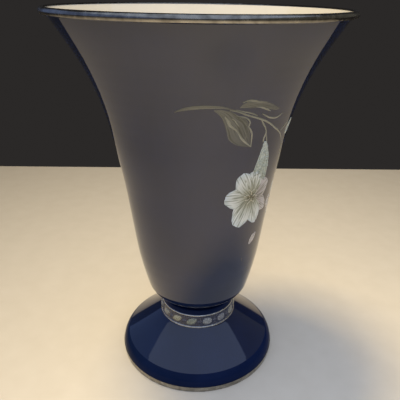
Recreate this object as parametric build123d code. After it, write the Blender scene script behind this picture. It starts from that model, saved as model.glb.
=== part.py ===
from build123d import *
import math
import os

# Overall sizes of the vase, in millimetres.
vase_height = 250.0
rim_radius = 92.4

# Bowl: a flared porcelain trumpet with a rolled lip, a rounded underside and a flat seat.
bowl_wall = 4.0
bowl_floor = 10.0
lip_radius = 2.2
seat_radius = 24.5
seat_height = 0.6
belly_radius = 36.5
belly_height = 8.8
belly_round = 10.0
shoulder_round = 230.0
shoulder_shares = (0.122, 0.137)
waist_round = 240.0
waist_shares = (0.255, 0.438)
flare_round = 160.0
flare_shares = (0.477, 0.772)
floor_round = 16.0
floor_land_radius = 13.0

# Foot: a domed disc over an upright banded edge, with a short collar on top, hollow beneath.
foot_radius = 59.0
edge_height = 4.2
edge_setback = 0.3
dome_round = 10.5
dome_height = 31.2
collar_height = 14.8
collar_base_radius = 28.3
collar_top_radius = 27.0
collar_edge_radius = 1.8
collar_wall = 8.0
foot_wall = 5.0
foot_ring_width = 5.5
throat_round = 3.0
web_thickness = 11.0

# Platinum bands and lines, fired on as thin raised layers.
band_thickness = 0.25
rim_band_inner_angle = 140.0
rim_band_outer_angle = -40.0
foot_band_margin = 0.25
line_width = 1.4
line_relief = 0.35
upper_line_drop = 4.5
lower_line_rise = 0.75

# Bead course: raised enamel ovals with a small lozenge between each two.
bead_count = 15
bead_first_angle = 285.0
bead_half_length = 3.5
bead_half_width = 2.9
bead_relief = 1.0
bead_overrun_angle = 8.0
link_gap = 0.35
link_half_width = 1.2
link_relief = 0.6
link_taper_angle = 35.0

# Clamp: one bolt through the bowl's floor and the foot's web, with its washers and nut.
bolt_radius = 4.0
bolt_end_length = 3.0
bolt_end_chamfer = 0.8
head_radius = 7.5
head_height = 4.2
head_chamfer = 0.9
slot_width = 1.6
slot_depth = 1.6
hole_clearance = 0.6
washer_clearance = 0.3
thread_clearance = 0.05
gasket_inset = 2.0
gasket_thickness = 0.8
head_washer_radius = 10.0
head_washer_thickness = 1.2
seal_washer_radius = 11.5
seal_washer_thickness = 2.0
cushion_washer_radius = 14.0
cushion_washer_thickness = 2.5
nut_washer_radius = 12.0
nut_washer_thickness = 1.6
nut_width = 13.0
nut_height = 6.5
nut_chamfer = 0.7

# Heights and radii that follow from the sizes above.
foot_height = dome_height + collar_height
web_level = foot_height - web_thickness
seat_level = foot_height + gasket_thickness
floor_level = seat_level + bowl_floor
belly_level = seat_level + belly_height
throat_radius = collar_top_radius - collar_wall
hole_radius = bolt_radius + hole_clearance
upper_line_level = foot_height - upper_line_drop
lower_line_level = dome_height + lower_line_rise
bead_level = (upper_line_level + lower_line_level) / 2
bead_pitch = 360 / bead_count


def at(radius, height):
    """A point of a turned outline."""
    return Vector(radius, 0, height)


def between(start, end, shares):
    """The point that lies the given shares of the way across and up from start to end."""
    across, up = shares
    return at(start.X + across * (end.X - start.X), start.Z + up * (end.Z - start.Z))


def into_wall(start, end):
    """The direction square to an outline's side, towards the left of its run."""
    run = (end - start).normalized()
    return at(-run.Z, run.X)


def inset(points, distance):
    """An outline's inner corners, where each of its sides is moved into the wall by the same distance."""
    moved = []
    for before, corner, after in zip(points, points[1:], points[2:]):
        arriving = into_wall(before, corner)
        leaving = into_wall(corner, after)
        moved.append(corner + (arriving + leaving) * (distance / (1 + arriving.dot(leaving))))
    return moved


def round_points(centre, radius, angles):
    """Points on a round part of an outline, at angles above the horizontal."""
    turns = [math.radians(angle) for angle in angles]
    return [centre + at(radius * math.cos(turn), radius * math.sin(turn)) for turn in turns]


def turned(*pieces):
    """The solid that a closed outline sweeps round the vase's axis."""
    edges = [edge for piece in pieces for edge in piece.edges()]
    return revolve(make_face(Wire(edges)), Axis.Z)


def ring(inner, outer, bottom, thickness):
    """A flat washer whose underside lies at the given height."""
    disc = Cylinder(outer, thickness, align=(Align.CENTER, Align.CENTER, Align.MIN))
    bore = Cylinder(inner, thickness, align=(Align.CENTER, Align.CENTER, Align.MIN))
    return Pos(0, 0, bottom) * (disc - bore)


def round_band(centre, inner, low, high):
    """A thin metal band that follows a rounded edge from one angle to another."""
    angles = (low, (low + high) / 2, high)
    inside = round_points(centre, inner, angles)
    outside = round_points(centre, inner + band_thickness, angles)
    return turned(
        ThreePointArc(*outside),
        Line(outside[-1], inside[-1]),
        ThreePointArc(*reversed(inside)),
        Line(inside[0], outside[0]),
    )


lip_centre = at(rim_radius - lip_radius, vase_height - lip_radius)
lip_core = lip_radius - band_thickness
lip_angles = (-135, 5, 145)


def make_bowl():
    """The bowl: straight sides with rounded corners between them, and a wall that thins to the lip."""
    under_lip, lip_nose, lip_inside = round_points(lip_centre, lip_core, lip_angles)
    seat_edge = at(seat_radius, seat_level + seat_height)
    belly = at(belly_radius, belly_level)
    rim = at(rim_radius, vase_height)
    side_shares = (shoulder_shares, waist_shares, flare_shares)
    side = [between(belly, rim, shares) for shares in side_shares]
    outline = [seat_edge, belly, *side, under_lip]
    outer_rounds = (belly_round, shoulder_round, waist_round, flare_round)
    inner_corners = reversed(inset(outline, bowl_wall))
    inner_side_rounds = (flare_round + bowl_wall, waist_round + bowl_wall, shoulder_round - bowl_wall)
    land_edge = at(floor_land_radius, floor_level)
    return turned(
        Line(at(hole_radius, seat_level), at(seat_radius, seat_level)),
        Line(at(seat_radius, seat_level), seat_edge),
        FilletPolyline(*outline, radius=outer_rounds),
        ThreePointArc(under_lip, lip_nose, lip_inside),
        FilletPolyline(
            lip_inside, *inner_corners, land_edge, radius=(*inner_side_rounds, floor_round)
        ),
        Line(land_edge, at(hole_radius, floor_level)),
        Line(at(hole_radius, floor_level), at(hole_radius, seat_level)),
    )


def make_rim_band():
    return round_band(lip_centre, lip_core, rim_band_outer_angle, rim_band_inner_angle)


def cap_radius(half_chord, rise):
    """The radius of a round cap with the given half chord and rise."""
    return (half_chord**2 + rise**2) / (2 * rise)


edge_crown = cap_radius(edge_height, edge_setback)
edge_centre = at(foot_radius - edge_crown, edge_height)
edge_core = edge_crown - band_thickness


def edge_angle(level):
    """Where the upright edge has a height, as an angle round the centre of its slight crown."""
    return math.degrees(math.asin((level - edge_height) / edge_core))


def make_foot():
    """The foot: a domed disc under a collar, hollow below, with a web that the bolt passes through."""
    edge_angles = (edge_angle(0), edge_angle(0) / 2, 0)
    edge = round_points(edge_centre, edge_core, edge_angles)
    round_centre = at(foot_radius - dome_round, edge_height)
    round_core = dome_round - band_thickness
    collar_base = at(collar_base_radius, dome_height)
    sight = collar_base - round_centre
    sight_angle = math.degrees(math.atan2(sight.Z, sight.X))
    turn = sight_angle - math.degrees(math.acos(round_core / sight.length))
    dome_edge = round_points(round_centre, round_core, (0, turn / 2, turn))
    collar_side = at(collar_top_radius, foot_height - collar_edge_radius)
    collar_edge_centre = collar_side - at(collar_edge_radius, 0)
    collar_edge = round_points(collar_edge_centre, collar_edge_radius, (0, 45, 90))
    ring_inner = edge[0] - at(foot_ring_width, 0)
    cavity = FilletPolyline(
        at(throat_radius, web_level),
        at(throat_radius, dome_height),
        at(ring_inner.X, edge_height + foot_wall),
        ring_inner,
        radius=(throat_round, dome_round - foot_wall),
    )
    return turned(
        Line(ring_inner, edge[0]),
        ThreePointArc(*edge),
        ThreePointArc(edge[-1], *dome_edge[1:]),
        Line(dome_edge[-1], collar_base),
        Line(collar_base, collar_edge[0]),
        ThreePointArc(*collar_edge),
        Line(collar_edge[-1], at(hole_radius, foot_height)),
        Line(at(hole_radius, foot_height), at(hole_radius, web_level)),
        Line(at(hole_radius, web_level), at(throat_radius, web_level)),
        cavity,
    )


def make_foot_band():
    return round_band(edge_centre, edge_core, edge_angle(foot_band_margin), 0)


def collar_radius_at(level):
    """The collar's outer radius at a height, along its slight taper."""
    shoulder_level = foot_height - collar_edge_radius
    share = (level - dome_height) / (shoulder_level - dome_height)
    return collar_base_radius + share * (collar_top_radius - collar_base_radius)


def collar_core():
    """The tapered space that the collar's outer face encloses."""
    levels = (dome_height, foot_height - collar_edge_radius)
    low, high = [at(collar_radius_at(level), level) for level in levels]
    return turned(
        Line(low, high),
        Line(high, at(0, high.Z)),
        Line(at(0, high.Z), at(0, low.Z)),
        Line(at(0, low.Z), low),
    )


def make_neck_line(level):
    """A half-round raised line on the collar."""
    levels = (level - line_width / 2, level, level + line_width / 2)
    low, middle, high = [at(collar_radius_at(height), height) for height in levels]
    return turned(ThreePointArc(low, middle + at(line_relief, 0), high), Line(high, low))


def round_the_collar(piece, first_angle):
    """Copies of a piece, one for each bead, evenly spaced round the axis."""
    return [Rot(0, 0, first_angle + place * bead_pitch) * piece for place in range(bead_count)]


def make_bead():
    """One oval bead: a crowned cap, longer than it is high, that stands proud of the collar."""
    root = collar_radius_at(bead_level)
    crest = at(root + bead_relief, bead_level)
    crown = cap_radius(bead_half_width, bead_relief)
    sweep = cap_radius(bead_half_length, bead_relief)
    rise = math.degrees(math.asin(bead_half_width / crown)) + bead_overrun_angle
    low, high = round_points(crest - at(crown, 0), crown, (-rise, rise))
    pivot = Axis(tuple(crest - at(sweep, 0)), (0, 0, 1))
    half = math.degrees(math.asin(bead_half_length / sweep)) + bead_overrun_angle
    section = make_face(Wire([ThreePointArc(low, crest, high), Line(high, low)]))
    return revolve(section.rotate(pivot, -half), pivot, 2 * half) - collar_core()


def make_link():
    """One lozenge between two beads, with bevelled faces that rise from the collar."""
    pitch_length = math.radians(bead_pitch) * collar_radius_at(bead_level)
    half_length = pitch_length / 2 - bead_half_length - link_gap
    corners = [(half_length, 0), (0, link_half_width), (-half_length, 0), (0, -link_half_width)]
    base = make_face(Polyline(*corners, close=True))
    root = link_relief
    pillar = extrude(base, root)
    crown = Pos(0, 0, root) * extrude(base, link_relief, taper=link_taper_angle)
    lozenge = Rot(90, 0, 90) * (pillar + crown)
    return Pos(collar_radius_at(bead_level) - root, 0, bead_level) * lozenge - collar_core()


def make_bolt(head_level, end_level):
    """A cheese-headed bolt with a slot, its head seated at one height and its end at another."""
    shank = Pos(0, 0, end_level) * Cylinder(
        bolt_radius, head_level - end_level, align=(Align.CENTER, Align.CENTER, Align.MIN)
    )
    shank = chamfer(shank.edges().group_by(Axis.Z)[0], bolt_end_chamfer)
    head = Pos(0, 0, head_level) * Cylinder(
        head_radius, head_height, align=(Align.CENTER, Align.CENTER, Align.MIN)
    )
    head = chamfer(head.edges().group_by(Axis.Z)[-1], head_chamfer)
    slot = Box(2 * head_radius, slot_width, slot_depth, align=(Align.CENTER, Align.CENTER, Align.MAX))
    return shank + head - Pos(0, 0, head_level + head_height) * slot


def make_nut(bottom):
    """A hexagonal nut with chamfered corners top and bottom."""
    across_corners = nut_width / math.cos(math.pi / 6)
    blank = extrude(RegularPolygon(across_corners / 2, 6), nut_height)
    turned_blank = Cylinder(across_corners / 2, nut_height, align=(Align.CENTER, Align.CENTER, Align.MIN))
    rounded = chamfer(turned_blank.edges().filter_by(GeomType.CIRCLE), nut_chamfer)
    bore = Cylinder(
        bolt_radius + thread_clearance, nut_height, align=(Align.CENTER, Align.CENTER, Align.MIN)
    )
    return Pos(0, 0, bottom) * ((blank & rounded) - bore)


def make_clamp():
    """The gasket, bolt, washers and nut, stacked from the bowl's floor down to the nut."""
    washer_bore = bolt_radius + washer_clearance
    head_washer_level = floor_level + seal_washer_thickness
    head_level = head_washer_level + head_washer_thickness
    cushion_level = web_level - cushion_washer_thickness
    nut_washer_level = cushion_level - nut_washer_thickness
    nut_level = nut_washer_level - nut_height
    gasket_radius = seat_radius - gasket_inset
    return {
        "joint_gasket": ring(hole_radius, gasket_radius, foot_height, gasket_thickness),
        "seal_washer": ring(washer_bore, seal_washer_radius, floor_level, seal_washer_thickness),
        "head_washer": ring(
            washer_bore, head_washer_radius, head_washer_level, head_washer_thickness
        ),
        "clamp_bolt": make_bolt(head_level, nut_level - bolt_end_length),
        "cushion_washer": ring(
            washer_bore, cushion_washer_radius, cushion_level, cushion_washer_thickness
        ),
        "nut_washer": ring(
            washer_bore, nut_washer_radius, nut_washer_level, nut_washer_thickness
        ),
        "hex_nut": make_nut(nut_level),
    }


def make_vase():
    """Every piece of the vase by name, each a solid or a group of like solids."""
    return {
        "bowl": make_bowl(),
        "foot": make_foot(),
        "rim_band": make_rim_band(),
        "foot_band": make_foot_band(),
        "neck_upper_line": make_neck_line(upper_line_level),
        "neck_lower_line": make_neck_line(lower_line_level),
        "bead_course": Compound(round_the_collar(make_bead(), bead_first_angle)),
        "link_course": Compound(
            round_the_collar(make_link(), bead_first_angle + bead_pitch / 2)
        ),
        **make_clamp(),
    }


os.makedirs("parts", exist_ok=True)
for name, piece in make_vase().items():
    export_step(piece, f"parts/{name}.step")
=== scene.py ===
import itertools
import math

import bmesh
import bpy
import numpy as np
from mathutils import Matrix, Vector, noise


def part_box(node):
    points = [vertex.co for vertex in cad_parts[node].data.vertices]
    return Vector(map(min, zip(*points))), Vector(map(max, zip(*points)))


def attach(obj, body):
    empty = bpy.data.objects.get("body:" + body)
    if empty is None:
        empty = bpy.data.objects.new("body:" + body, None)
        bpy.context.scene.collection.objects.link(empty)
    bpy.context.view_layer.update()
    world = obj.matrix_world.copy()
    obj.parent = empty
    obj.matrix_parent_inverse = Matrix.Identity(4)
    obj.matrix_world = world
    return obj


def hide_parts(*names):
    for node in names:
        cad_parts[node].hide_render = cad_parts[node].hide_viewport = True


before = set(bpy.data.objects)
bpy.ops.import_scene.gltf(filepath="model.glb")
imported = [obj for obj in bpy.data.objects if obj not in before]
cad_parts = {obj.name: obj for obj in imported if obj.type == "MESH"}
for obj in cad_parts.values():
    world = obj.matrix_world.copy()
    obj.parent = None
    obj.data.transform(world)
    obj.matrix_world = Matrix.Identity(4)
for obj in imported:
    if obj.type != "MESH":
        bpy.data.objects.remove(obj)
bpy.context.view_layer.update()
mm = 0.001


# Foot: a domed porcelain disc with an upright edge and a short collar, turned, dipped in cobalt
# glaze and fired standing on the bare ring beneath. It is hollow, with a web for the clamp bolt.
# Its edge and the strip above the collar's metal lines take a glaze that hardly mirrors: painted shade,
# standing in for a shape that would mirror the dark room.

foot_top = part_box("foot")[1][2]
foot_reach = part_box("foot")[1][0]
strip_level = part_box("neck_upper_line")[0][2]
foot_edge_height = 4.2 * mm
foot_edge_crown = 29.3 * mm
dome_round = 10.25 * mm
foot_wall = 5.0 * mm
foot_ring_width = 5.5 * mm
dome_height = 31.2 * mm
collar_base_radius = 28.3 * mm
collar_top_radius = 27.0 * mm
collar_edge_radius = 0.9 * mm
collar_cove_radius = 1.6 * mm
collar_crease_radius = 0.02 * mm
throat_radius = 19.0 * mm
throat_round = 3.0 * mm
web_level = 35.0 * mm
web_round = 0.6 * mm
hole_radius = 4.6 * mm
hole_round = 0.2 * mm
bare_ring_depth = 0.02 * mm
outline_gap = 2.5 * mm
least_gap = 0.000001 * mm
foot_facets = 256


def arc(centre, radius, start, end, step=4):
    """Points of a round stretch of an outline, from one angle above the horizontal to another."""
    count = max(2, math.ceil(abs(end - start) / step) + 1)
    turns = np.radians(np.linspace(start, end, count))
    return [(centre[0] + radius * math.cos(t), centre[1] + radius * math.sin(t)) for t in turns]


def rounded(corners, radii, step=1.5):
    """An outline through straight sides, with each inner corner rounded to its own radius."""
    corners = [np.array(corner, float) for corner in corners]
    points = [corners[0]]
    for before, corner, after, radius in zip(corners, corners[1:], corners[2:], radii):
        back = (before - corner) / np.linalg.norm(before - corner)
        ahead = (after - corner) / np.linalg.norm(after - corner)
        half = math.acos(float(np.clip(back @ ahead, -1, 1))) / 2
        centre = corner + (back + ahead) / np.linalg.norm(back + ahead) * radius / math.sin(half)
        first = corner + back * radius / math.tan(half) - centre
        last = corner + ahead * radius / math.tan(half) - centre
        start = math.degrees(math.atan2(first[1], first[0]))
        sweep = math.degrees(math.atan2(last[1], last[0])) - start
        sweep = (sweep + 180) % 360 - 180
        points += [np.array(point) for point in arc(centre, radius, start, start + sweep, step)]
    return points + [corners[-1]]


def spaced(points, gap):
    """The same outline with points added along it wherever two lie further apart than the gap."""
    points = [np.array(point, float) for point in points]
    line = [points[0]]
    for start, end in zip(points, points[1:]):
        length = np.linalg.norm(end - start)
        if length < least_gap:
            continue
        count = max(1, math.ceil(length / gap))
        line += [start + (end - start) * step / count for step in range(1, count + 1)]
    return line


def add_piece(name, points, faces, smooth_angle=35):
    """A mesh piece with smooth faces and its creases kept sharp."""
    mesh = bpy.data.meshes.new(name)
    mesh.from_pydata([tuple(point) for point in points], [], faces)
    mesh.shade_smooth()
    mesh.set_sharp_from_angle(angle=math.radians(smooth_angle))
    piece = bpy.data.objects.new(name, mesh)
    bpy.context.scene.collection.objects.link(piece)
    return piece


def lathe(name, outline, turns):
    """A piece turned round the vase's axis from a closed outline of radii and heights."""
    rows = len(outline)
    angles = np.linspace(0, 2 * math.pi, turns, endpoint=False)
    points = [(r * math.cos(a), r * math.sin(a), z) for r, z in outline for a in angles]
    faces = []
    for row in range(rows):
        low = row * turns
        high = (row + 1) % rows * turns
        for turn in range(turns):
            ahead = (turn + 1) % turns
            faces.append((low + turn, low + ahead, high + ahead, high + turn))
    return add_piece(name, points, faces)


def new_finish(name):
    """A material with its node tree and its Principled shader."""
    material = bpy.data.materials.new(name)
    material.use_nodes = True
    return material, material.node_tree, material.node_tree.nodes["Principled BSDF"]


def add_node(tree, kind, **values):
    """A node with its named properties and inputs set."""
    node = tree.nodes.new(kind)
    for key, value in values.items():
        label = key.replace("_", " ")
        if label in node.inputs:
            node.inputs[label].default_value = value
        else:
            setattr(node, key, value)
    return node


def wire(source, output, target, socket):
    """A link from an output of one node to an input of another."""
    source.id_data.links.new(source.outputs[output], target.inputs[socket])


def new_group(name, inputs, outputs):
    """An empty shader node group with named inputs and outputs."""
    group = bpy.data.node_groups.new(name, "ShaderNodeTree")
    for label, value in inputs.items():
        socket = group.interface.new_socket(label, in_out="INPUT", socket_type="NodeSocketFloat")
        socket.default_value = value
    for label, kind in outputs.items():
        group.interface.new_socket(label, in_out="OUTPUT", socket_type=kind)
    return group, group.nodes.new("NodeGroupInput"), group.nodes.new("NodeGroupOutput")


def place_group(tree, group, **values):
    """A node group placed in a material with its own input values."""
    node = tree.nodes.new("ShaderNodeGroup")
    node.node_tree = group
    for key, value in values.items():
        node.inputs[key.replace("_", " ")].default_value = value
    return node


def add_ramp(tree, *stops):
    """A colour ramp from places and colours."""
    ramp = tree.nodes.new("ShaderNodeValToRGB")
    while len(ramp.color_ramp.elements) < len(stops):
        ramp.color_ramp.elements.new(0.5)
    for element, (place, colour) in zip(ramp.color_ramp.elements, stops):
        element.position = place
        element.color = (*colour, 1)
    return ramp


kiln_glaze, glaze_in, glaze_out = new_group(
    "kiln_glaze",
    {"Mottle Scale": 40.0, "Ripple Scale": 500.0, "Ripple Depth": 0.01 * mm},
    {"Mottle": "NodeSocketFloat", "Specks": "NodeSocketFloat", "Normal": "NodeSocketVector"},
)
glaze_place = add_node(kiln_glaze, "ShaderNodeTexCoord")
glaze_mottle = add_node(kiln_glaze, "ShaderNodeTexNoise", Detail=5.0, Roughness=0.6)
glaze_ripple = add_node(kiln_glaze, "ShaderNodeTexNoise", Detail=2.0)
glaze_specks = add_node(kiln_glaze, "ShaderNodeTexVoronoi", Scale=120.0)
glaze_dots = add_node(
    kiln_glaze, "ShaderNodeMapRange", From_Min=0.02, From_Max=0.035, To_Min=1.0, To_Max=0.0
)
glaze_bump = add_node(kiln_glaze, "ShaderNodeBump", Strength=1.0)
for texture in (glaze_mottle, glaze_ripple, glaze_specks):
    wire(glaze_place, "Object", texture, "Vector")
wire(glaze_in, "Mottle Scale", glaze_mottle, "Scale")
wire(glaze_in, "Ripple Scale", glaze_ripple, "Scale")
wire(glaze_in, "Ripple Depth", glaze_bump, "Distance")
wire(glaze_ripple, "Fac", glaze_bump, "Height")
wire(glaze_specks, "Distance", glaze_dots, "Value")
wire(glaze_mottle, "Fac", glaze_out, "Mottle")
wire(glaze_dots, "Result", glaze_out, "Specks")
wire(glaze_bump, "Normal", glaze_out, "Normal")

cobalt_glaze, cobalt_tree, cobalt_shader = new_finish("cobalt_glaze")
cobalt_skin = place_group(
    cobalt_tree, kiln_glaze, Mottle_Scale=26.0, Ripple_Scale=160.0, Ripple_Depth=0.012 * mm
)
cobalt_depth = add_ramp(cobalt_tree, (0.3, (0.004, 0.009, 0.032)), (0.7, (0.007, 0.014, 0.050)))
cobalt_gloss = add_node(cobalt_tree, "ShaderNodeMapRange", To_Min=0.03, To_Max=0.06)
wire(cobalt_skin, "Mottle", cobalt_depth, "Fac")
wire(cobalt_skin, "Mottle", cobalt_gloss, "Value")
wire(cobalt_depth, "Color", cobalt_shader, "Base Color")
wire(cobalt_gloss, "Result", cobalt_shader, "Roughness")
wire(cobalt_skin, "Normal", cobalt_shader, "Normal")
cobalt_shader.inputs["IOR"].default_value = 1.65

# The edge and the strip mirror the table here, where the photograph shows them dark. This glaze
# hardly mirrors, and stands in for a shape that would mirror the dark room.
edge_glaze = cobalt_glaze.copy()
edge_glaze.name = "edge_glaze"
edge_shader = edge_glaze.node_tree.nodes["Principled BSDF"]
edge_shader.inputs["Specular IOR Level"].default_value = 0.015

bare_porcelain, bare_tree, bare_shader = new_finish("bare_porcelain")
bare_grain = add_node(bare_tree, "ShaderNodeTexNoise", Scale=1500.0, Detail=4.0)
bare_place = add_node(bare_tree, "ShaderNodeTexCoord")
bare_tone = add_ramp(bare_tree, (0.35, (0.55, 0.52, 0.46)), (0.65, (0.70, 0.67, 0.61)))
bare_bump = add_node(bare_tree, "ShaderNodeBump", Strength=0.6, Distance=0.05 * mm)
wire(bare_place, "Object", bare_grain, "Vector")
wire(bare_grain, "Fac", bare_tone, "Fac")
wire(bare_grain, "Fac", bare_bump, "Height")
wire(bare_tone, "Color", bare_shader, "Base Color")
wire(bare_bump, "Normal", bare_shader, "Normal")
bare_shader.inputs["Roughness"].default_value = 0.75

edge_centre = np.array((foot_reach - foot_edge_crown, foot_edge_height))
edge_low_angle = -math.degrees(math.asin(foot_edge_height / foot_edge_crown))
edge_line = arc(edge_centre, foot_edge_crown, edge_low_angle, 0, step=3)
round_centre = np.array((foot_reach - dome_round, foot_edge_height))
collar_base = np.array((collar_base_radius, dome_height))
sight = collar_base - round_centre
sight_angle = math.atan2(sight[1], sight[0])
dome_angle = math.degrees(sight_angle - math.acos(dome_round / np.linalg.norm(sight)))
dome_line = arc(round_centre, dome_round, 0, dome_angle, step=3)
ring_outer = np.array(edge_line[0])
ring_inner = ring_outer - (foot_ring_width, 0)
edge_top = np.array(dome_line[-1])
cavity_top = (throat_radius, dome_height)
cavity_low = (ring_inner[0], foot_edge_height + foot_wall)
shoulder_level = foot_top - collar_edge_radius
collar_shoulder = (collar_top_radius, shoulder_level)
collar_rim = (collar_top_radius, foot_top)
hole_rim = (hole_radius, foot_top)
collar_line = rounded(
    [edge_top, collar_base, collar_shoulder, collar_rim, hole_rim],
    [collar_cove_radius, collar_crease_radius, collar_edge_radius],
    step=6,
)
hole_foot = (hole_radius, web_level)
web_corner = (throat_radius, web_level)
cavity_line = rounded(
    [hole_rim, hole_foot, web_corner, cavity_top, cavity_low, ring_inner],
    [hole_round, web_round, throat_round, dome_round - foot_wall],
    step=8,
)
foot_outline = [*edge_line, *dome_line[1:], *collar_line[1:], *cavity_line[1:]]
foot_body = lathe("foot_body", spaced(foot_outline, outline_gap), foot_facets)
foot_finishes = [cobalt_glaze, bare_porcelain, edge_glaze]
for finish in foot_finishes:
    foot_body.data.materials.append(finish)
for face in foot_body.data.polygons:
    on_edge = face.center.z > foot_edge_height and face.center.xy.length > edge_top[0]
    if face.center.z < bare_ring_depth:
        face.material_index = foot_finishes.index(bare_porcelain)
    # The edge and the strip get the glaze that hardly mirrors, a painted shade.
    elif on_edge or face.center.z > strip_level:
        face.material_index = foot_finishes.index(edge_glaze)
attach(foot_body, "root")
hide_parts("foot")


# Bowl: the flared trumpet, turned with a rolled lip and a wall that thins towards it, dipped in
# cobalt outside. It stands on the gasket and is held down by the bolt through its floor.

seat_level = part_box("bowl")[0][2]
vase_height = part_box("rim_band")[1][2]
rim_radius = 92.4 * mm
lip_radius = 2.2 * mm
band_thickness = 0.25 * mm
bowl_wall = 4.0 * mm
lining_thickness = 0.3 * mm
bowl_floor = 10.0 * mm
floor_round = 16.0 * mm
floor_land_radius = 13.0 * mm
seat_radius = 24.5 * mm
seat_height = 0.6 * mm
belly_radius = 36.5 * mm
belly_height = 8.8 * mm
# Shares of the way from the belly to the rim, out and up, of the corners of the side's outline.
side_shares = ((0.122, 0.137), (0.255, 0.438), (0.477, 0.772))
side_rounds = [13.0 * mm, 230.0 * mm, 240.0 * mm, 160.0 * mm]
lip_low_angle = -135
lip_inner_angle = 145
bowl_facets = 320

lip_centre = np.array((rim_radius - lip_radius, vase_height - lip_radius))
lip_core = lip_radius - band_thickness
lip_line = arc(lip_centre, lip_core, lip_low_angle, lip_inner_angle, step=8)
rim = np.array((rim_radius, vase_height))
belly = np.array((belly_radius, seat_level + belly_height))
seat_edge = np.array((seat_radius, seat_level + seat_height))
side_corners = [belly + (rim - belly) * share for share in side_shares]
outer_corners = [seat_edge, belly, *side_corners, np.array(lip_line[0])]


def inset(corners, distance):
    """The inner corners of an outline whose sides are all moved left of their run."""
    moved = []
    for before, corner, after in zip(corners, corners[1:], corners[2:]):
        arriving = (corner - before) / np.linalg.norm(corner - before)
        leaving = (after - corner) / np.linalg.norm(after - corner)
        squares = [np.array((-run[1], run[0])) for run in (arriving, leaving)]
        moved.append(corner + (squares[0] + squares[1]) * distance / (1 + squares[0] @ squares[1]))
    return moved


def inner_line(depth):
    """The bowl's inside from the lip down to the hole, set back into the wall by a depth."""
    wall = bowl_wall - depth
    rounds = [radius + wall for radius in reversed(side_rounds[2:])]
    rounds += [side_rounds[1] - wall, floor_round + depth]
    corners = reversed(inset(outer_corners, wall))
    start = lip_centre + (lip_core - depth) / lip_core * (np.array(lip_line[-1]) - lip_centre)
    land = (floor_land_radius, seat_level + bowl_floor - depth)
    return rounded([start, *corners, land], rounds) + [np.array((hole_radius, land[1]))]


side_line = np.array(spaced(rounded(outer_corners, side_rounds, step=3), outline_gap))
seat_line = [(hole_radius, seat_level), (seat_radius, seat_level)]
bowl_outline = [*seat_line, *side_line, *lip_line[1:], *inner_line(lining_thickness)]
bowl_body = lathe("bowl_body", spaced(bowl_outline, outline_gap), bowl_facets)
bowl_body.data.materials.append(cobalt_glaze)
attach(bowl_body, "root")
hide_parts("bowl")


# Lining: the cream-white glaze poured inside the bowl, a skin over the inner wall and the floor.
# It runs up to the band on the lip, and its tone is a little cloudy, with a few small specks.

lining_facets = 256

white_glaze, white_tree, white_shader = new_finish("white_glaze")
white_skin = place_group(
    white_tree, kiln_glaze, Mottle_Scale=18.0, Ripple_Scale=220.0, Ripple_Depth=0.015 * mm
)
white_tone = add_ramp(white_tree, (0.3, (0.66, 0.605, 0.49)), (0.7, (0.71, 0.655, 0.545)))
wire(white_skin, "Mottle", white_tone, "Fac")
white_speck = add_node(white_tree, "ShaderNodeMixRGB", Color2=(0.58, 0.53, 0.43, 1))
wire(white_skin, "Specks", white_speck, "Fac")
wire(white_tone, "Color", white_speck, "Color1")
wire(white_speck, "Color", white_shader, "Base Color")
wire(white_skin, "Normal", white_shader, "Normal")
white_shader.inputs["Roughness"].default_value = 0.08
white_shader.inputs["IOR"].default_value = 1.55

lining_outline = [*inner_line(0), *reversed(inner_line(lining_thickness))]
bowl_lining = lathe("bowl_lining", spaced(lining_outline, outline_gap), lining_facets)
bowl_lining.data.materials.append(white_glaze)
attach(bowl_lining, "root")
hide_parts("bowl")


# Platinum: metal brushed over the lip, round the foot's edge and along the two raised lines of
# the collar, then fired on. It is thin, streaked by the brush and a little rubbed.

# Tones of the lit copy: painted light on the collar's two lines.
lit_platinum_tones = [(0.40, 0.41, 0.41), (0.60, 0.61, 0.60)]

platinum, platinum_tree, platinum_shader = new_finish("platinum")
platinum_place = add_node(platinum_tree, "ShaderNodeTexCoord")
platinum_streaks = add_node(platinum_tree, "ShaderNodeTexNoise", Scale=260.0, Detail=6.0)
# The platinum's own tones are dark for a metal: painted shade on the rim and the foot's edge.
platinum_tone = add_ramp(platinum_tree, (0.35, (0.23, 0.215, 0.185)), (0.6, (0.39, 0.365, 0.315)))
platinum_gloss = add_node(platinum_tree, "ShaderNodeMapRange", To_Min=0.16, To_Max=0.34)
platinum_bump = add_node(platinum_tree, "ShaderNodeBump", Strength=0.5, Distance=0.02 * mm)
wire(platinum_place, "Object", platinum_streaks, "Vector")
wire(platinum_streaks, "Fac", platinum_tone, "Fac")
wire(platinum_streaks, "Fac", platinum_gloss, "Value")
wire(platinum_streaks, "Fac", platinum_bump, "Height")
wire(platinum_tone, "Color", platinum_shader, "Base Color")
wire(platinum_gloss, "Result", platinum_shader, "Roughness")
wire(platinum_bump, "Normal", platinum_shader, "Normal")
platinum_shader.inputs["Metallic"].default_value = 1.0

# The two lines round the collar take a lit copy of the platinum, brighter than the rim and the foot's
# edge: the two tones of one metal are painted light and shade.
lit_platinum = platinum.copy()
lit_platinum.name = "lit_platinum"
lit_platinum_ramp = lit_platinum.node_tree.nodes[platinum_tone.name].color_ramp
for element, tone in zip(lit_platinum_ramp.elements, lit_platinum_tones):
    element.color = (*tone, 1)


def dress(node, finish):
    """Gives a piece from the CAD frame its material."""
    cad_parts[node].data.materials.clear()
    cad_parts[node].data.materials.append(finish)


dress("rim_band", platinum)
dress("foot_band", platinum)
dress("neck_upper_line", lit_platinum)
dress("neck_lower_line", lit_platinum)


# Beads: fifteen ovals of thick white enamel, trailed on the collar drop by drop and fired, so
# that each has its own size, tint and grainy skin. They stand in one row round the collar.

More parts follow.
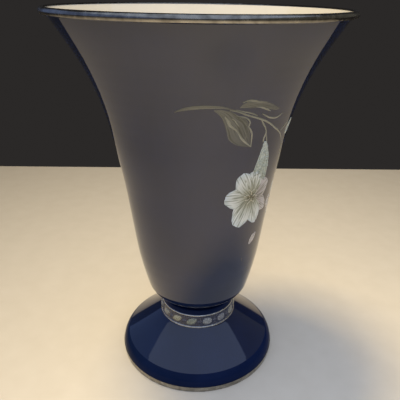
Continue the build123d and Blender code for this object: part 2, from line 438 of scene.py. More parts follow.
bead_count = 15
bead_first_azimuth = 15.0
bead_pitch = 360 / bead_count
bead_level = 36.725 * mm
bead_half_length = 3.5 * mm
bead_half_width = 2.75 * mm
bead_relief = 1.0 * mm
bead_grain = 0.24 * mm
bead_squareness = 0.8
bead_crown = 2.6
bead_shoulder = 0.6
bead_sizes = (0.92, 1.03)
bead_shades = (0.92, 1.05)
bead_tints = [
    (0.42, 0.44, 0.44), (0.36, 0.37, 0.39), (0.50, 0.48, 0.39), (0.62, 0.57, 0.38), (0.40, 0.42, 0.33),
]
grain_size = 0.62 * mm
grain_middle = 0.45
grain_fade = 3
sunk = 0.05 * mm
weld_gap = 0.001 * mm
enamel_crease = 60


def collar_radius(height):
    """The collar's outer radius at a height."""
    share = (height - dome_height) / (shoulder_level - dome_height)
    return collar_base_radius + share * (collar_top_radius - collar_base_radius)


def on_collar(across, height, lift):
    """A point over the collar, a distance round it from the front and a height above the floor."""
    turn = across / collar_radius(height)
    reach = collar_radius(height) + lift
    return (reach * math.sin(turn), -reach * math.cos(turn), height)


def add_patch(store, grid, tints):
    """Adds a sheet of points in rows to a store, with a tint for each point."""
    grid = np.array(grid, float)
    rows, columns = grid.shape[:2]
    first = len(store["points"])
    store["points"] += grid.reshape(-1, 3).tolist()
    store["tints"] += np.broadcast_to(np.array(tints, float), grid.shape).reshape(-1, 3).tolist()
    middle = grid[rows // 2, columns // 2]
    leading = grid[rows // 2 - 1, columns // 2] - middle
    sideways = grid[rows // 2, columns // 2 - 1] - middle
    outward = np.cross(leading, sideways)[:2] @ middle[:2] < 0
    for row in range(rows - 1):
        for column in range(columns - 1):
            corner = first + row * columns + column
            loop = [corner, corner + 1, corner + columns + 1, corner + columns]
            spots = [(column, row), (column + 1, row), (column + 1, row + 1), (column, row + 1)]
            spots = [(across / (columns - 1), along / (rows - 1)) for across, along in spots]
            if outward:
                loop.reverse()
                spots.reverse()
            store["faces"].append(loop)
            store["spots"] += spots


def new_store():
    """An empty store of sheets that become one piece."""
    return {"points": [], "faces": [], "spots": [], "tints": []}


def stored_piece(name, store, finish):
    """One mesh piece from a store, with its map of spots, its tints and its finish."""
    piece = add_piece(name, store["points"], store["faces"], enamel_crease)
    spots = piece.data.uv_layers.new(name="spots")
    spots.data.foreach_set("uv", np.array(store["spots"], np.float32).ravel())
    tints = piece.data.color_attributes.new("tint", "FLOAT_COLOR", "POINT")
    colours = np.ones((len(store["tints"]), 4), np.float32)
    colours[:, :3] = store["tints"]
    tints.data.foreach_set("color", colours.ravel())
    mesh = bmesh.new()
    mesh.from_mesh(piece.data)
    bmesh.ops.remove_doubles(mesh, verts=mesh.verts, dist=weld_gap)
    mesh.to_mesh(piece.data)
    mesh.free()
    piece.data.materials.append(finish)
    return piece


def grainy(point, size):
    """A number from about -0.5 to 0.5 that gives a surface grains of a size."""
    return grain_middle - noise.voronoi(Vector(point) / size)[0][0]


def squared(value):
    """A cosine or sine drawn out so that a round becomes a bead's fuller oval."""
    return math.copysign(abs(value) ** bead_squareness, value)


raised_enamel, enamel_tree, enamel_shader = new_finish("raised_enamel")
enamel_tint = add_node(enamel_tree, "ShaderNodeAttribute", attribute_name="tint")
enamel_place = add_node(enamel_tree, "ShaderNodeTexCoord")
enamel_grain = add_node(enamel_tree, "ShaderNodeTexVoronoi", Scale=1500.0)
enamel_shade = add_ramp(enamel_tree, (0.1, (1.0, 1.0, 1.0)), (0.7, (0.30, 0.30, 0.32)))
enamel_mix = add_node(enamel_tree, "ShaderNodeMixRGB", blend_type="MULTIPLY", Fac=1.0)
enamel_bump = add_node(enamel_tree, "ShaderNodeBump", Strength=0.5, Distance=0.1 * mm)
enamel_bump.invert = True
wire(enamel_place, "Object", enamel_grain, "Vector")
wire(enamel_grain, "Distance", enamel_shade, "Fac")
wire(enamel_tint, "Color", enamel_mix, "Color1")
wire(enamel_shade, "Color", enamel_mix, "Color2")
wire(enamel_grain, "Distance", enamel_bump, "Height")
wire(enamel_mix, "Color", enamel_shader, "Base Color")
wire(enamel_bump, "Normal", enamel_shader, "Normal")
enamel_shader.inputs["Roughness"].default_value = 0.32

bead_draw = np.random.default_rng(7)
bead_rings = np.array((0, 0.12, 0.24, 0.36, 0.48, 0.59, 0.69, 0.78, 0.86, 0.92, 0.97, 1.0))
bead_turns = np.linspace(0, 2 * math.pi, 41)
bead_store = new_store()
for place in range(bead_count):
    centre = math.radians(bead_first_azimuth + place * bead_pitch) * collar_radius(bead_level)
    length, width = bead_draw.uniform(*bead_sizes, 2) * (bead_half_length, bead_half_width)
    tint = np.array(bead_tints[place % len(bead_tints)]) * bead_draw.uniform(*bead_shades)
    grid = []
    for ring in bead_rings:
        row = []
        for turn in bead_turns:
            across = squared(math.cos(turn)) * length * ring
            up = squared(math.sin(turn)) * width * ring
            swell = (1 - ring**bead_crown) ** bead_shoulder
            grain = grainy((centre + across, up, place), grain_size) * bead_grain
            grain *= min(1, grain_fade * swell)
            lift = (bead_relief - bead_grain / 2) * swell + grain - sunk * (swell == 0)
            row.append(on_collar(centre + across, bead_level + up, lift))
        grid.append(row)
    add_patch(bead_store, grid, tint)
enamel_beads = stored_piece("enamel_beads", bead_store, raised_enamel)
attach(enamel_beads, "root")
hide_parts("bead_course")


# Links and curls: a small lozenge between each two beads, with a sprig above and below it whose
# side curls run along the two metal lines. Trailed in the same enamel, thinner and greyer.

link_half_length = 1.9 * mm
link_half_width = 1.2 * mm
link_relief = 0.6 * mm
link_grain = 0.3 * bead_grain
link_hollow = 0.85
link_crown = 1.6
link_tint = (0.17, 0.17, 0.21)
link_rings = (0, 0.3, 0.55, 0.75, 0.9, 1.0)
link_turns = np.linspace(0, 2 * math.pi, 25)
curl_width = 0.34 * mm
curl_taper = np.array((0.7, 1.0, 0.35))
curl_relief = 0.3 * mm
curl_grain = 0.06 * mm
curl_step = 0.3 * mm
stroke_sides = (-1, -0.85, -0.5, 0, 0.5, 0.85, 1)
# Each curl has its places from the link's middle, in millimetres, and its share of the width.
sprig_lines = [
    ([(0.0, 1.2), (0.1, 2.4), (0.0, 3.7)], 1.0),
    ([(0.2, 1.3), (1.0, 2.5), (1.9, 3.35), (3.3, 3.75), (4.6, 3.85)], 0.9),
]


def flowing(points, gap):
    """A smooth line through the points, in steps of about the gap."""
    points = np.array(points, float)
    padded = np.vstack([2 * points[0] - points[1], points, 2 * points[-1] - points[-2]])
    line = []
    for a, b, c, d in zip(padded, padded[1:], padded[2:], padded[3:]):
        count = max(2, math.ceil(np.linalg.norm(c - b) / gap))
        for s in np.linspace(0, 1, count, endpoint=False):
            bend = (2 * a - 5 * b + 4 * c - d) * s**2 + (3 * b - a - 3 * c + d) * s**3
            line.append((2 * b + (c - a) * s + bend) / 2)
    return np.array(line + [points[-1]])


def part_way(rows, share):
    """The place or tint a share of the way along a list of them."""
    rows = np.array(rows, float)
    stops = np.linspace(0, 1, len(rows))
    return np.array([np.interp(share, stops, part) for part in rows.T])


def add_stroke(store, place, points, widths, relief, tints, gap, grain=0.0):
    """Adds a raised stroke along a line of places, with its widths and tints spread along it."""
    line = flowing(points, gap)
    runs = np.gradient(line, axis=0)
    runs /= np.linalg.norm(runs, axis=1)[:, None]
    along = np.linspace(0, 1, len(line))
    breadths = np.interp(along, np.linspace(0, 1, len(widths)), widths)
    colours = part_way(np.atleast_2d(tints), along).T
    grid = []
    for spot, run, breadth in zip(line, runs, breadths):
        row = []
        for side in stroke_sides:
            across, up = spot + side * breadth / 2 * np.array((-run[1], run[0]))
            lift = relief * (1 - side**4) - sunk * (abs(side) == 1)
            lift += grain * grainy((across, up, relief), grain_size) * (abs(side) < 1)
            row.append(place(across, up, lift))
        grid.append(row)
    add_patch(store, grid, colours[:, None, :])


link_store = new_store()
for place in range(bead_count):
    azimuth = math.radians(bead_first_azimuth + (place + 0.5) * bead_pitch)
    centre = azimuth * collar_radius(bead_level)
    grid = []
    for ring in link_rings:
        row = []
        for turn in link_turns:
            reach = ring / (abs(math.cos(turn)) + abs(math.sin(turn))) ** link_hollow
            across = link_half_length * reach * math.cos(turn)
            up = link_half_width * reach * math.sin(turn)
            lift = link_relief * (1 - ring**link_crown) - sunk * (ring == 1)
            lift += link_grain * grainy((centre + across, up, place), grain_size) * (ring < 1)
            row.append(on_collar(centre + across, bead_level + up, lift))
        grid.append(row)
    add_patch(link_store, grid, link_tint)
    for points, weight in sprig_lines:
        widths = curl_taper * curl_width * weight
        flips = (1,) if points[0][0] == 0 else (-1, 1)
        for flip, rise in itertools.product(flips, (-1, 1)):
            spots = [(centre + flip * x * mm, bead_level + rise * z * mm) for x, z in points]
            lift = curl_relief * weight
            add_stroke(link_store, on_collar, spots, widths, lift, link_tint, curl_step, curl_grain)
enamel_links = stored_piece("enamel_links", link_store, raised_enamel)
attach(enamel_links, "root")
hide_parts("link_course")


# Flower spray: two open blossoms, a bud spike, a drooping leaf and their stems, painted in thin
# white and olive enamels on the bowl's front right and fired. It stands a hair above the glaze.
# Places on it are azimuths in degrees from the front and heights in millimetres.

paint_lift = 0.16 * mm


def bowl_radius(height):
    """The bowl's outer radius at a height."""
    return float(np.interp(height, side_line[:, 1], side_line[:, 0]))


def on_bowl(across, height, lift):
    """A point over the bowl, a distance round it from the front and a height above the floor."""
    reach = bowl_radius(height)
    slope = (bowl_radius(height + mm) - bowl_radius(height - mm)) / (2 * mm)
    turn = across / reach
    reach += lift / math.hypot(1, slope)
    height -= lift * slope / math.hypot(1, slope)
    return (reach * math.sin(turn), -reach * math.cos(turn), height)


def unrolled(spots):
    """Distances round the bowl and heights from azimuths in degrees and heights in millimetres."""
    return [(math.radians(azimuth) * bowl_radius(height * mm), height * mm) for azimuth, height in spots]


painted_enamel, paint_tree, paint_shader = new_finish("painted_enamel")
paint_tint = add_node(paint_tree, "ShaderNodeAttribute", attribute_name="tint")
paint_place = add_node(paint_tree, "ShaderNodeTexCoord")
paint_stretch = add_node(paint_tree, "ShaderNodeMapping", Scale=(17.0, 1.2, 1.0))
paint_veins = add_node(paint_tree, "ShaderNodeTexNoise", Scale=1.0, Detail=3.0, Roughness=0.55)
paint_lines = add_ramp(
    paint_tree, (0.40, (0.36, 0.38, 0.31)), (0.50, (0.88, 0.89, 0.85)), (0.6, (1.0, 1.0, 1.0))
)
paint_grain = add_node(paint_tree, "ShaderNodeTexNoise", Scale=1400.0, Detail=2.0)
paint_mix = add_node(paint_tree, "ShaderNodeMixRGB", blend_type="MULTIPLY", Fac=1.0)
paint_bump = add_node(paint_tree, "ShaderNodeBump", Strength=0.35, Distance=0.06 * mm)
paint_gloss = add_node(paint_tree, "ShaderNodeMapRange", To_Min=0.12, To_Max=0.34)
wire(paint_place, "UV", paint_stretch, "Vector")
wire(paint_stretch, "Vector", paint_veins, "Vector")
wire(paint_place, "Object", paint_grain, "Vector")
wire(paint_veins, "Fac", paint_lines, "Fac")
wire(paint_tint, "Color", paint_mix, "Color1")
wire(paint_lines, "Color", paint_mix, "Color2")
wire(paint_mix, "Color", paint_shader, "Base Color")
wire(paint_grain, "Fac", paint_bump, "Height")
wire(paint_grain, "Fac", paint_gloss, "Value")
wire(paint_gloss, "Result", paint_shader, "Roughness")
wire(paint_bump, "Normal", paint_shader, "Normal")
paint_shader.inputs["IOR"].default_value = 1.6

white_petal = [
    (0.15, 0.145, 0.09), (0.36, 0.36, 0.27), (0.64, 0.65, 0.59), (0.76, 0.78, 0.75), (0.63, 0.70, 0.74),
]
lilac_petal = [
    (0.20, 0.18, 0.13), (0.34, 0.31, 0.28), (0.46, 0.42, 0.42), (0.55, 0.51, 0.52), (0.60, 0.57, 0.58),
]
petal_sides = np.linspace(-1, 1, 25)
petal_rows = np.linspace(0.06, 1, 26)
petal_neck = 0.16
petal_widest = 0.72
petal_swell = 1.1
petal_narrowing = 0.12
tip_fall = 0.38
tip_power = 2.3
border_power = 8
end_power = 14
tip_wave, tip_waves = 0.012, 7
fine_wave, fine_waves = 0.006, 17
side_wave, side_waves = 0.015, 8
fold_depth, folds = 0.15, 6.5


def add_petal(store, centre, turn, length, width, tints, lift, draw):
    """Adds a petal that grows from a centre in a direction turned clockwise from upright."""
    ahead = np.array((math.sin(math.radians(turn)), math.cos(math.radians(turn))))
    aside = np.array((ahead[1], -ahead[0]))
    ruffle = draw.uniform(0, 2 * math.pi, 3)
    grid, colours = [], []
    for out in petal_rows:
        row = []
        for side in petal_sides:
            tip = 1 - tip_fall * abs(side) ** tip_power
            tip += tip_wave * math.sin(tip_waves * side + ruffle[0])
            tip += fine_wave * math.sin(fine_waves * side + ruffle[1])
            opening = math.sin(min(1, out / petal_widest) * math.pi / 2) ** petal_swell
            breadth = width / 2 * (petal_neck + (1 - petal_neck) * opening)
            breadth *= 1 + side_wave * math.sin(side_waves * out + ruffle[2])
            breadth *= 1 - petal_narrowing * out**4
            spot = centre + ahead * length * out * tip + aside * breadth * side
            border = (1 - abs(side) ** border_power) * (1 - out**end_power)
            fold = 1 + fold_depth * math.cos(folds * side + ruffle[1]) * out
            edge = abs(side) == 1 or out in (petal_rows[0], 1)
            row.append(on_bowl(*spot, lift * border * fold - sunk * edge))
        grid.append(row)
        colours.append([part_way(tints, out)] * len(petal_sides))
    add_patch(store, grid, colours)


drop_rings = (0, 0.45, 0.8, 1.0)
drop_turns = np.linspace(0, 2 * math.pi, 11)


def add_drop(store, place, spot, radius, lift, tint):
    """Adds a small round drop of enamel."""
    grid = []
    for ring in drop_rings:
        row = []
        for turn in drop_turns:
            across, up = spot + radius * ring * np.array((math.cos(turn), math.sin(turn)))
            row.append(place(across, up, lift * math.sqrt(1 - ring**2) - sunk * (ring == 1)))
        grid.append(row)
    add_patch(store, grid, tint)


spray_draw = np.random.default_rng(11)
spray_store = new_store()
# Each blossom has its centre, and for each petal its turn, length, width, tints and share of
# the paint's lift.
blossoms = [
    (
        (38.9, 143.7),
        [
            (66, 18.0, 17, lilac_petal, 0.8),
            (129, 22.5, 12, lilac_petal, 0.7),
            (163, 22.8, 15, white_petal, 1.0),
            (-86, 19.6, 17.5, white_petal, 1.0),
            (-153, 23.0, 18, white_petal, 1.15),
            (4, 18.4, 18, white_petal, 1.2),
            (-28, 20.0, 16.5, white_petal, 1.3),
        ],
    ),
    (
        (84.0, 129.0),
        [
            (60, 17.0, 15, white_petal, 0.8),
            (130, 17.0, 14, white_petal, 0.9),
            (-160, 17.0, 14, white_petal, 1.0),
            (-80, 17.5, 15, lilac_petal, 1.0),
            (-10, 18.0, 16, white_petal, 1.2),
        ],
    ),
]
heart_radius = 4.4 * mm
heart_lift = 1.6 * paint_lift
heart_tint = (0.13, 0.12, 0.07)
# Each stamen has its turn, its reach and how far it bends aside, in millimetres.
stamens = [
    (-75, 5.4, 1.2),
    (-110, 4.6, -1.0),
    (-20, 5.6, 1.0),
    (20, 5.0, -1.2),
    (55, 5.6, 1.1),
    (100, 4.8, -1.0),
    (150, 5.0, 1.0),
    (-150, 5.4, -1.1),
]
stamen_root = 1.2
stamen_bend = 0.6
stamen_widths = np.array((0.35, 0.6, 0.4)) * mm
stamen_lift = 2.2 * paint_lift
stamen_step = 0.5 * mm
anther_radius = 0.62 * mm
anther_lift = 2.8 * paint_lift
stamen_tint = (0.78, 0.72, 0.56)
for spot, petals in blossoms:
    centre = np.array(unrolled([spot])[0])
    for turn, length, width, tints, height in petals:
        lift = paint_lift * height
        add_petal(spray_store, centre, turn, length * mm, width * mm, tints, lift, spray_draw)
    add_drop(spray_store, on_bowl, centre, heart_radius, heart_lift, heart_tint)
    for turn, reach, curl in stamens:
        heading = math.radians(turn)
        ahead = np.array((math.sin(heading), math.cos(heading))) * mm
        aside = np.array((ahead[1], -ahead[0]))
        bend = centre + ahead * reach * stamen_bend + aside * curl
        anther = centre + ahead * reach
        thread = [centre + ahead * stamen_root, bend, anther]
        add_stroke(
            spray_store, on_bowl, thread, stamen_widths, stamen_lift, stamen_tint, stamen_step
        )
        add_drop(spray_store, on_bowl, anther, anther_radius, anther_lift, stamen_tint)

pale = (0.29, 0.28, 0.225)
olive = (0.18, 0.175, 0.14)
cream = (0.37, 0.35, 0.28)
faint = (0.10, 0.096, 0.083)
# Each stroke has its places, its widths along it in millimetres, its share of the paint's
# lift and its tints.
strokes = [
    (
        [
            (-11.5, 201.5), (-8.6, 202.7), (-5.0, 203.8), (-1.4, 204.4), (3.0, 204.7), (7.5, 204.6),
            (11.1, 204.2), (14.0, 203.3), (17.0, 202.5),
        ],
        (0.7, 2.0, 2.3, 2.2, 1.9, 1.3, 0.8), 0.6, [faint, olive, olive, faint],
    ),
    (
        [
            (14.1, 202.7), (18.1, 201.6), (23.2, 199.3), (28.2, 197.3), (33.0, 195.4), (38.8, 192.6),
            (45.5, 188.4), (54.6, 182.5), (62.0, 175.0),
        ],
        (1.0, 1.3, 1.3, 1.2, 1.4, 1.1, 0.6), 0.9, [olive, pale, cream, pale, cream],
    ),
    (
        [
            (12.1, 199.1), (13.9, 196.6), (15.5, 193.6), (17.0, 192.3), (18.8, 190.9), (21.0, 188.3),
            (23.3, 184.9), (26.5, 181.9), (29.8, 179.2),
        ],
        (0.6, 2.1, 1.6, 1.2, 1.5, 1.5, 0.8), 0.9, [pale, cream, pale, cream, pale],
    ),
    (
        [(30.2, 178.8), (29.8, 182.7), (29.0, 187.2), (27.2, 190.5), (26.0, 191.6)],
        (0.6, 1.1, 1.3, 0.8), 0.9, [pale, cream, pale],
    ),
    (
        [(26.0, 191.6), (26.3, 194.3), (25.0, 196.2), (23.1, 197.6), (20.2, 198.5), (17.5, 199.3)],
        (0.7, 1.1, 0.9, 0.6), 0.9, [cream, pale, olive],
    ),
    (
        [(15.8, 197.7), (17.5, 196.4), (19.4, 193.9), (20.8, 192.2)],
        (0.5, 0.9, 0.5), 0.9, [pale, cream, olive],
    ),
    ([(19.8, 197.9), (22.4, 195.3), (24.6, 192.7)], (0.4, 0.7, 0.4), 0.8, [olive]),
    ([(25.0, 182.8), (25.7, 185.2), (25.0, 188.4), (23.4, 190.4)], (0.4, 0.7, 0.4), 0.8, [olive]),
    (
        [(19.6, 206.6), (22.3, 207.5), (25.9, 207.1), (28.3, 206.3), (33.0, 205.6)],
        (0.6, 1.6, 1.2, 0.5), 0.7, [olive, pale, olive],
    ),
    (
        [(27.5, 203.5), (30.6, 202.8), (34.1, 201.4), (37.5, 199.7)],
        (0.5, 1.2, 1.2, 0.5), 0.9, [pale, cream, pale],
    ),
    (
        [(31.9, 199.1), (34.9, 197.4), (38.3, 195.7), (41.7, 194.8), (45.0, 194.7), (49.0, 196.4)],
        (0.5, 1.1, 1.2, 1.0, 0.5), 0.9, [olive, cream, cream, pale],
    ),
    (
        [(16.9, 202.8), (21.8, 201.2), (25.9, 199.9), (29.8, 197.9)],
        (0.5, 1.0, 0.8), 0.8, [olive, pale, olive],
    ),
    (
        [(33.1, 195.1), (35.3, 192.3), (37.8, 189.4), (39.5, 185.9), (38.8, 182.9), (39.0, 180.3)],
        (0.7, 1.4, 0.9, 1.4, 0.9), 0.9, [cream, pale, cream, cream],
    ),
    ([(39.5, 185.9), (41.4, 181.7), (42.8, 177.4)], (0.6, 1.0, 0.7), 0.9, [pale, cream]),
    (
        [(47.0, 105.0), (48.9, 107.8), (51.3, 110.2), (54.2, 112.2)],
        (1.6, 5.2, 5.0, 1.8), 1.0, [(0.50, 0.45, 0.45), (0.66, 0.60, 0.61), (0.42, 0.38, 0.38)],
    ),
    ([(39.0, 96.3), (40.4, 94.6), (41.4, 92.6)], (0.3, 0.7, 0.3), 0.6, [faint]),
    ([(52.0, 84.6), (53.4, 82.6), (54.2, 80.4)], (0.3, 0.7, 0.3), 0.6, [faint]),
    ([(54.0, 184.0), (57.5, 186.8), (62.0, 188.6)], (0.7, 1.2, 1.0), 0.9, [cream, pale]),
    (
        [(62.0, 175.0), (66.0, 166.0), (72.0, 156.0), (79.0, 148.0)],
        (0.8, 1.2, 1.2, 0.7), 0.9, [pale, cream, pale],
    ),
]
stroke_step = 0.6 * mm
stroke_grain = 0.02 * mm
for spots, widths, height, tints in strokes:
    widths = np.array(widths) * mm
    lift = height * paint_lift
    add_stroke(spray_store, on_bowl, unrolled(spots), widths, lift, tints, stroke_step, stroke_grain)

blade_step = 1.2 * mm
blade_rows = np.linspace(0, 1, 30)
blade_shares = np.linspace(0, 1, 15)
blade_border_power = 6
blade_fold_depth, blade_folds = 0.2, 9


def add_blade(store, left, right, tints, lift):
    """Adds a thin leaf or bud between its left and right outlines."""
    left = part_way(flowing(unrolled(left), blade_step), blade_rows).T
    right = part_way(flowing(unrolled(right), blade_step), blade_rows).T
    grid, colours = [], []
    for along, start, end in zip(blade_rows, left, right):
        row = []
        for share in blade_shares:
            across, up = start * (1 - share) + end * share
            edge = share in (0, 1) or along in (0, 1)
            crown = 1 - (2 * share - 1) ** blade_border_power
            crown *= 1 - blade_fold_depth * (1 - math.cos(blade_folds * share))
            row.append(on_bowl(across, up, lift * crown - sunk * edge))
        grid.append(row)
        colours.append([part_way(tints, along)] * len(blade_shares))
    add_patch(store, grid, colours)


leaf_tints = [
    (0.150, 0.147, 0.122), (0.135, 0.135, 0.116), (0.112, 0.113, 0.102), (0.085, 0.086, 0.082),
]
bud_white = [
    (0.72, 0.76, 0.71), (0.70, 0.74, 0.69), (0.60, 0.65, 0.60), (0.54, 0.59, 0.53), (0.40, 0.44, 0.38),
]
drooping_leaf = (
    [
        (6.2, 202.9), (9.8, 199.2), (12.1, 194.4), (13.7, 189.5), (15.4, 184.5), (21.2, 180.7),
        (29.6, 178.9),
    ],
    [
        (10.3, 203.2), (15.2, 201.8), (19.6, 199.1), (23.7, 196.9), (26.0, 194.3), (27.6, 189.9),
        (29.9, 179.1),
    ],
)
upper_leaf = (
    [(18.7, 203.8), (21.0, 206.5), (25.3, 207.5), (31.0, 206.5), (36.0, 204.6), (44.0, 200.4)],
    [(19.0, 203.5), (24.0, 203.0), (28.3, 202.8), (34.8, 201.3), (41.1, 199.6), (44.2, 200.1)],
)
bud_spike = (
    [(40.4, 179.9), (39.1, 176.6), (38.4, 172.8), (37.4, 168.6), (36.4, 164.4), (35.2, 160.0)],
    [(41.6, 179.9), (44.6, 176.0), (47.6, 170.6), (49.4, 164.6), (50.2, 159.1), (50.8, 152.0)],
)
small_bud = (
    [(63.5, 179.6), (62.6, 183.0), (64.6, 187.4), (67.0, 189.4)],
    [(64.6, 179.4), (69.0, 181.0), (70.6, 185.0), (68.0, 189.3)],
)
add_blade(spray_store, *drooping_leaf, leaf_tints, 0.5 * paint_lift)
add_blade(spray_store, *upper_leaf, leaf_tints, 0.45 * paint_lift)
add_blade(spray_store, *bud_spike, bud_white, 0.9 * paint_lift)
add_blade(spray_store, *small_bud, bud_white[:2], 1.3 * paint_lift)

# Small drops laid over the bud spike, closer together towards its tip.
bud_drops = 170
bud_crowding = 1.3
bud_margins = (0.06, 0.94)
bud_drop_radii = (0.45 * mm, 0.85 * mm)
bud_drop_shades = (0.8, 1.08)
bud_drop_lift = 2.6 * paint_lift
bud_edges = [unrolled(edge) for edge in bud_spike]
for drop in range(bud_drops):
    along = spray_draw.uniform(0.0, 1.0) ** bud_crowding
    share = spray_draw.uniform(*bud_margins)
    start, end = (part_way(edge, along) for edge in bud_edges)
    spot = start * (1 - share) + end * share
    radius = spray_draw.uniform(*bud_drop_radii)
    tint = part_way(bud_white, along) * spray_draw.uniform(*bud_drop_shades)
    add_drop(spray_store, on_bowl, spot, radius, bud_drop_lift, tint)
flower_spray = stored_piece("flower_spray", spray_store, painted_enamel)
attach(flower_spray, "root")


# Hardware: a brass bolt and nut draw the bowl down on the foot through steel and rubber washers,
# with a punched fibre gasket in the joint. All of it sits inside, plain stock goods.


def new_stock(name, scale, tones, rough, depth, metal=0.0, stretch=(1.0, 1.0, 1.0)):
    """A material of plain stock: a grain of two tones, with its own gloss and relief."""
    finish, tree, shader = new_finish(name)
    place = add_node(tree, "ShaderNodeTexCoord")
    spread = add_node(tree, "ShaderNodeMapping", Scale=stretch)
    grain = add_node(tree, "ShaderNodeTexNoise", Scale=scale, Detail=5.0, Roughness=0.6)
    tone = add_ramp(tree, (0.35, tones[0]), (0.65, tones[1]))
    gloss = add_node(tree, "ShaderNodeMapRange", To_Min=rough[0], To_Max=rough[1])
    relief = add_node(tree, "ShaderNodeBump", Strength=0.6, Distance=depth)
    wire(place, "Object", spread, "Vector")
    wire(spread, "Vector", grain, "Vector")
    wire(grain, "Fac", tone, "Fac")
    wire(grain, "Fac", gloss, "Value")
    wire(grain, "Fac", relief, "Height")
    wire(tone, "Color", shader, "Base Color")
    wire(gloss, "Result", shader, "Roughness")
    wire(relief, "Normal", shader, "Normal")
    shader.inputs["Metallic"].default_value = metal
    return finish


brass_tones = ((0.52, 0.36, 0.14), (0.70, 0.51, 0.22))
steel_tones = ((0.42, 0.42, 0.43), (0.58, 0.58, 0.59))
rubber_tones = ((0.018, 0.018, 0.018), (0.035, 0.033, 0.031))
fibre_tones = ((0.24, 0.17, 0.10), (0.38, 0.29, 0.19))
brass = new_stock(
    "brass",
    scale=420.0,
    tones=brass_tones,
    rough=(0.2, 0.38),
    depth=0.03 * mm,
    metal=1.0,
    stretch=(1.0, 1.0, 4.0),
)
steel = new_stock(
    "steel", scale=600.0, tones=steel_tones, rough=(0.22, 0.42), depth=0.02 * mm, metal=1.0
)
rubber = new_stock("rubber", scale=900.0, tones=rubber_tones, rough=(0.5, 0.75), depth=0.05 * mm)
fibre = new_stock("fibre", scale=1100.0, tones=fibre_tones, rough=(0.75, 0.95), depth=0.08 * mm)
dress("clamp_bolt", brass)
dress("hex_nut", brass)
dress("head_washer", steel)
dress("nut_washer", steel)
dress("seal_washer", rubber)
dress("cushion_washer", rubber)
dress("joint_gasket", fibre)


# Floor, light and camera: a pale table top with a pool of light painted into its colour, brightest
# just in front of the vase, whose far edge meets the dark room. A warm key lamp overhead, a large
# dim ceiling panel, two dim side panels that show in reflections only, and the camera where the
# picture was taken.

table_far_edge = 0.39
table_half_width = 2.6
table_front = -2.6
# Painted pool of light on the table: its centre, and how fast it fades across and along.
light_pool_centre = (0.05, -0.16)
light_pool_scale = (2.5, 2.0)

table_finish, table_tree, table_shader = new_finish("table_top")
table_place = add_node(table_tree, "ShaderNodeTexCoord")
table_grain = add_node(table_tree, "ShaderNodeTexNoise", Scale=60.0, Detail=3.0)
table_tone = add_ramp(table_tree, (0.3, (0.74, 0.665, 0.55)), (0.7, (0.77, 0.695, 0.58)))
wire(table_place, "Object", table_grain, "Vector")
wire(table_grain, "Fac", table_tone, "Fac")
# The table's colour is divided by one plus the scaled square distance from that centre: painted light,
# brightest there and fading outwards.
light_pool_shift = (-light_pool_centre[0] * light_pool_scale[0], -light_pool_centre[1] * light_pool_scale[1], 0.0)
light_pool_offset = add_node(table_tree, "ShaderNodeMapping", Scale=(*light_pool_scale, 0.0), Location=light_pool_shift)
light_pool_square = add_node(table_tree, "ShaderNodeVectorMath", operation="DOT_PRODUCT")
light_pool_spread = add_node(table_tree, "ShaderNodeMath", operation="ADD")
light_pool_spread.inputs[1].default_value = 1.0
light_pool_level = add_node(table_tree, "ShaderNodeMath", operation="DIVIDE", use_clamp=True)
light_pool_level.inputs[0].default_value = 1.0
painted_light_pool = add_node(table_tree, "ShaderNodeMixRGB", blend_type="MULTIPLY", Fac=1.0)
wire(table_place, "Object", light_pool_offset, "Vector")
wire(light_pool_offset, "Vector", light_pool_square, 0)
wire(light_pool_offset, "Vector", light_pool_square, 1)
wire(light_pool_square, "Value", light_pool_spread, 0)
wire(light_pool_spread, 0, light_pool_level, 1)
wire(table_tone, "Color", painted_light_pool, "Color1")
wire(light_pool_level, 0, painted_light_pool, "Color2")
wire(painted_light_pool, "Color", table_shader, "Base Color")
table_shader.inputs["Roughness"].default_value = 0.6
table_shader.inputs["IOR"].default_value = 1.3
table_corners = [
    (-table_half_width, table_front, 0),
    (table_half_width, table_front, 0),
    (table_half_width, table_far_edge, 0),
    (-table_half_width, table_far_edge, 0),
]
table_top = add_piece("table_top", table_corners, [(0, 1, 2, 3)])
table_top.data.materials.append(table_finish)

world = bpy.data.worlds.new("room")
bpy.context.scene.world = world
world.use_nodes = True
world_tree = world.node_tree
room_light = world_tree.nodes["Background"]
room_light.inputs["Color"].default_value = (0.43, 0.46, 0.53, 1)
room_light.inputs["Strength"].default_value = 1.0
room_dark = add_node(world_tree, "ShaderNodeBackground", Color=(0.024, 0.022, 0.021, 1), Strength=1.0)
room_path = add_node(world_tree, "ShaderNodeLightPath")
room_seen = add_node(world_tree, "ShaderNodeMath", operation="ADD")
room_shown = add_node(world_tree, "ShaderNodeMath", operation="ADD", use_clamp=True)
room_mix = add_node(world_tree, "ShaderNodeMixShader")
wire(room_path, "Is Camera Ray", room_seen, 0)
wire(room_path, "Is Glossy Ray", room_seen, 1)
wire(room_seen, 0, room_shown, 0)
wire(room_path, "Is Transmission Ray", room_shown, 1)
wire(room_shown, 0, room_mix, "Fac")
wire(room_light, 0, room_mix, 1)
wire(room_dark, 0, room_mix, 2)
wire(room_mix, 0, world_tree.nodes["World Output"], "Surface")


def add_lamp(name, place, aim, size, radiance, colour):
    """A soft rectangular lamp that faces the point it is aimed at."""
    lamp = bpy.data.lights.new(name, "AREA")
    lamp.shape = "RECTANGLE"
    lamp.size, lamp.size_y = size
    lamp.energy = radiance * math.pi * size[0] * size[1]
    lamp.color = colour
    holder = bpy.data.objects.new(name, lamp)
    holder.location = place
    holder.rotation_euler = (Vector(aim) - Vector(place)).to_track_quat("-Z", "Y").to_euler()
    bpy.context.scene.collection.objects.link(holder)
    return holder


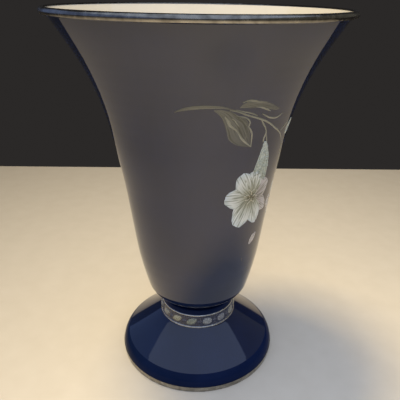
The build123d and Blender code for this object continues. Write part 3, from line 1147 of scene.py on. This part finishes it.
add_lamp(
    "ceiling_panel",
    place=(0.0, -3.6, 1.7),
    aim=(0.0, -3.6, 0.0),
    size=(3.9, 8.2),
    radiance=0.74,
    colour=(0.62, 0.74, 1.0),
)
key = add_lamp(
    "left_key",
    place=(-0.718, 0.449, 3.396),
    aim=(0.0, 0.0, 0.0),
    size=(0.95, 0.95),
    radiance=38.5,
    colour=(1.0, 0.79, 0.40),
)
key.visible_glossy = False
left_panel = add_lamp(
    "left_panel",
    place=(-2.275, -1.0, 0.95),
    aim=(0.0, -1.0, -0.034),
    size=(7.0, 1.63),
    radiance=0.34,
    colour=(0.34, 0.50, 1.0),
)
left_panel.visible_diffuse = False
right_panel = add_lamp(
    "right_panel",
    place=(2.275, -1.0, 0.95),
    aim=(0.0, -1.0, -0.034),
    size=(7.0, 1.63),
    radiance=0.09,
    colour=(1.0, 1.0, 0.85),
)
right_panel.visible_diffuse = False

lens_pixels = 460.0
picture_width = 400.0
axis_pixel = 207.2
camera_tilt = math.radians(24.62)
camera_roll = math.radians(0.93)
camera_pan = math.radians(1.19)
camera_back = 298.2 * mm
camera_height = 259.4 * mm
camera_near = 10.0 * mm
sensor_width = 36.0

looking = Vector(
    (
        math.sin(camera_pan) * math.cos(camera_tilt),
        math.cos(camera_pan) * math.cos(camera_tilt),
        -math.sin(camera_tilt),
    )
)
level = Vector((math.cos(camera_pan), -math.sin(camera_pan), 0))
down = looking.cross(level)
across = level * math.cos(camera_roll) - down * math.sin(camera_roll)
below = level * math.sin(camera_roll) + down * math.cos(camera_roll)
camera_data = bpy.data.cameras.new("camera")
camera_data.sensor_width = sensor_width
camera_data.lens = sensor_width * lens_pixels / picture_width
camera_data.shift_x = 0.5 - axis_pixel / picture_width
camera_data.clip_start = camera_near
camera = bpy.data.objects.new("camera", camera_data)
turn = Matrix((across, -below, -looking)).transposed().to_4x4()
camera.matrix_world = Matrix.Translation((0, -camera_back, camera_height)) @ turn
bpy.context.scene.collection.objects.link(camera)
bpy.context.scene.camera = camera
bpy.context.scene.view_settings.view_transform = "Standard"
